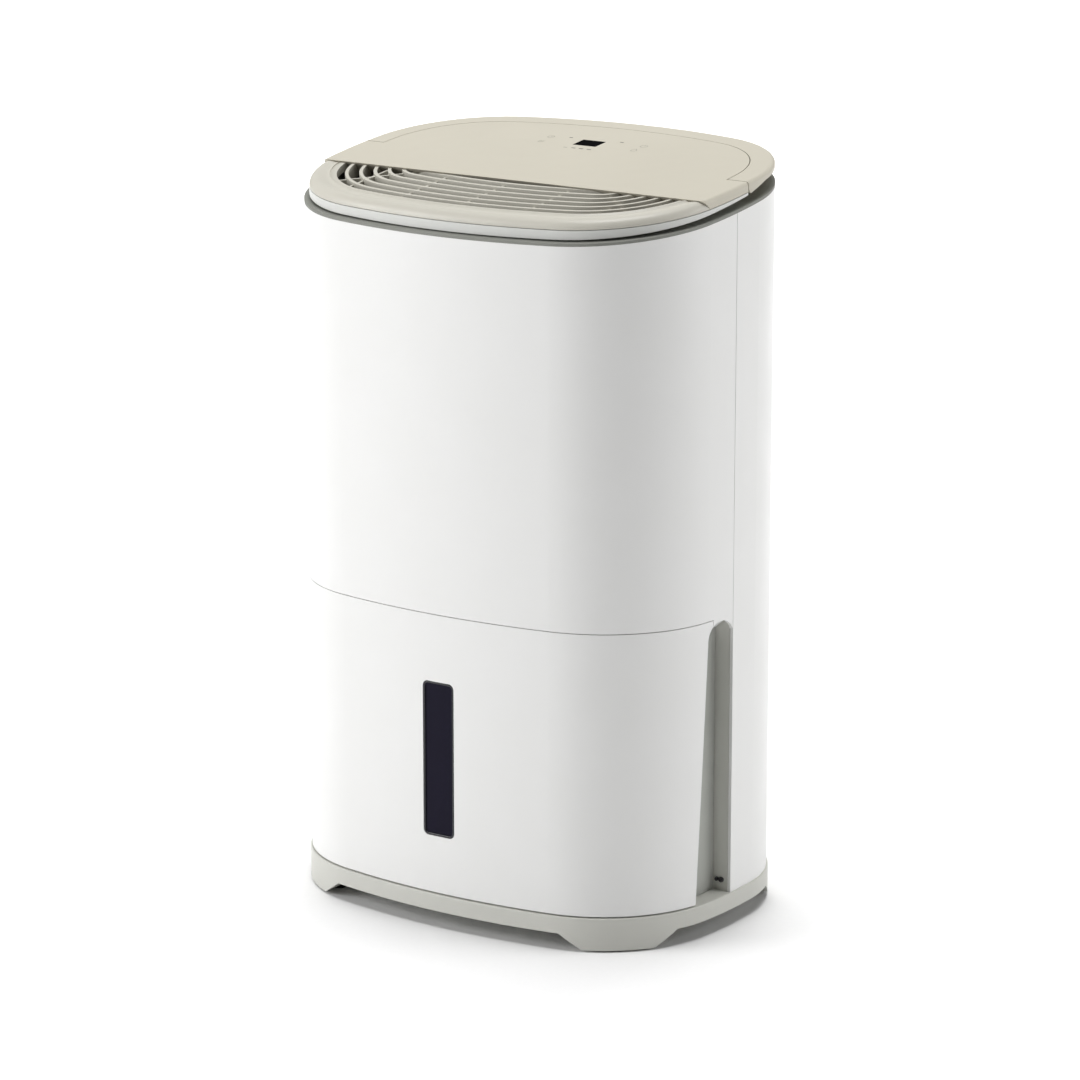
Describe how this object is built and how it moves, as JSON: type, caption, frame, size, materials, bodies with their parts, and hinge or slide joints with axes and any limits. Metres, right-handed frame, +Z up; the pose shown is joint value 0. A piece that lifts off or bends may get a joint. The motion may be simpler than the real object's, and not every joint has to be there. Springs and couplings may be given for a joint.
{
  "type": "dehumidifier",
  "caption": "Upright free-standing compressor dehumidifier with a pull-out water tank, sloping top with air outlet louvres, display and folding carry handle.",
  "frame": {"origin": "on the floor under the middle of the casing", "axes": "+X to the right when facing the front, +Y to the rear, +Z up; the tank side faces -Y"},
  "size_m": [0.3524, 0.2596, 0.5714],
  "materials": {
    "casing_plastic": "white satin moulded plastic",
    "base_plastic": "pale warm grey satin plastic",
    "lid_plastic": "warm beige satin plastic",
    "ring_plastic": "off-white satin plastic",
    "grille_plastic": "off-white satin plastic",
    "neck_plastic": "dark grey plastic",
    "foot_rubber": "black",
    "gland_rubber": "black",
    "black_screw_steel": "black",
    "window_trim": "very dark gloss",
    "smoked_window": "very dark, nearly black gloss",
    "display_glass": "black gloss",
    "tank_plastic": "milky translucent",
    "float_plastic": "white foam plastic",
    "magnet_steel": "dark",
    "inner_plastic": "grey plastic",
    "fan_plastic": "black plastic",
    "compressor_paint": "black gloss paint",
    "zinc_steel": "zinc plated",
    "copper": "drawn copper tube",
    "fin_aluminium": "bare thin sheet",
    "circuit_board": "green solder mask",
    "capacitor_can": "plain can",
    "mesh_fabric": "fine dark nylon mesh"
  },
  "bodies": {
    "cabinet": {"base_tray": "base_plastic", "rubber_feet": "foot_rubber", "front_cover": "casing_plastic", "rear_cover": "casing_plastic", "casing_screws": "black_screw_steel", "bulkhead": "inner_plastic", "chassis_deck": "inner_plastic", "drain_pan": "inner_plastic", "compressor": "compressor_paint", "compressor_grommets": "foot_rubber", "compressor_bolts": "zinc_steel", "terminal_cover": "inner_plastic", "accumulator": "compressor_paint", "accumulator_bracket": "zinc_steel", "discharge_pipe": "copper", "suction_pipe": "copper", "filter_drier": "copper", "capillary_tube": "copper", "fan_motor": "zinc_steel", "fan_housing": "fan_plastic", "outlet_duct": "fan_plastic", "electrics_box": "zinc_steel", "power_board": "circuit_board", "run_capacitor": "capacitor_can", "control_board": "circuit_board", "tank_switch": "inner_plastic", "humidity_sensor": "inner_plastic", "cable_gland": "gland_rubber", "drain_port": "inner_plastic", "neck_ring": "neck_plastic", "collar": "ring_plastic", "outlet_grille": "grille_plastic", "top_panel": "lid_plastic", "display_window": "display_glass", "handle_pins": "zinc_steel", "evaporator_fins": "fin_aluminium", "evaporator_plates": "zinc_steel", "evaporator_bends": "copper", "condenser_fins": "fin_aluminium", "condenser_plates": "zinc_steel", "condenser_bends": "copper"},
    "tank": {"tank_front": "casing_plastic", "window_bezel": "window_trim", "window_lens": "smoked_window", "water_tank": "tank_plastic", "tank_lid": "inner_plastic", "float_pin": "zinc_steel"},
    "float": {"tank_float": "float_plastic", "float_magnet": "magnet_steel"},
    "fan": {"fan_wheel": "fan_plastic", "motor_shaft": "zinc_steel"},
    "filter": {"intake_grille": "casing_plastic", "filter_frame": "inner_plastic", "filter_mesh": "mesh_fabric"},
    "cap": {"drain_cap": "gland_rubber"},
    "handle": {"carry_handle": "lid_plastic"}
  },
  "joints": [
    {"name": "tank_slide", "type": "slide", "parent": "cabinet", "child": "tank", "axis": [0, -1, 0], "range_m": [0, 0.16]},
    {"name": "float_hinge", "type": "hinge", "parent": "tank", "child": "float", "pos_m": [0.1, -0.03, 0.198], "axis": [-1, 0, 0], "range_deg": [0, 18]},
    {"name": "fan_spin", "type": "hinge", "parent": "cabinet", "child": "fan", "pos_m": [0, 0, 0.372], "axis": [0, 1, 0], "continuous": true},
    {"name": "filter_slide", "type": "slide", "parent": "cabinet", "child": "filter", "axis": [0, 1, 0], "range_m": [0, 0.05]},
    {"name": "drain_cap_slide", "type": "slide", "parent": "cabinet", "child": "cap", "axis": [0, 1, 0], "range_m": [0, 0.03]},
    {"name": "handle_hinge", "type": "hinge", "parent": "cabinet", "child": "handle", "pos_m": [0, 0.0246, 0.55538], "axis": [1, 0, 0], "range_deg": [0, 90]}
  ]
}
